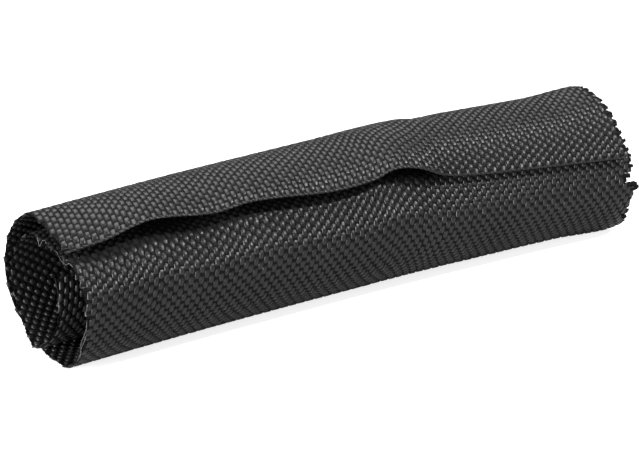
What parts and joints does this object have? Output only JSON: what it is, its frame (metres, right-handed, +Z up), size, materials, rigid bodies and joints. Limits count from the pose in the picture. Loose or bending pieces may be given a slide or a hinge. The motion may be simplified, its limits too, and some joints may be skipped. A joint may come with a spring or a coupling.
{
  "type": "heat-resistant wrap sleeve",
  "caption": "Black woven cloth rectangle, heat-set to curl into a split tube of nearly two turns that wraps round a bundle of cables and shields it from heat.",
  "frame": {"origin": "on the surface the sleeve lies on, at the middle of its length and width", "axes": "+X along the sleeve to its far end, -Y the front with the flap's free edge, +Z up"},
  "size_m": [0.1612, 0.0424, 0.0364],
  "materials": {
    "woven_cloth": "black plain-weave multifilament cloth, matt with a faint sheen on the yarns"
  },
  "bodies": {
    "root": {"sleeve": "woven_cloth"}
  },
  "joints": []
}
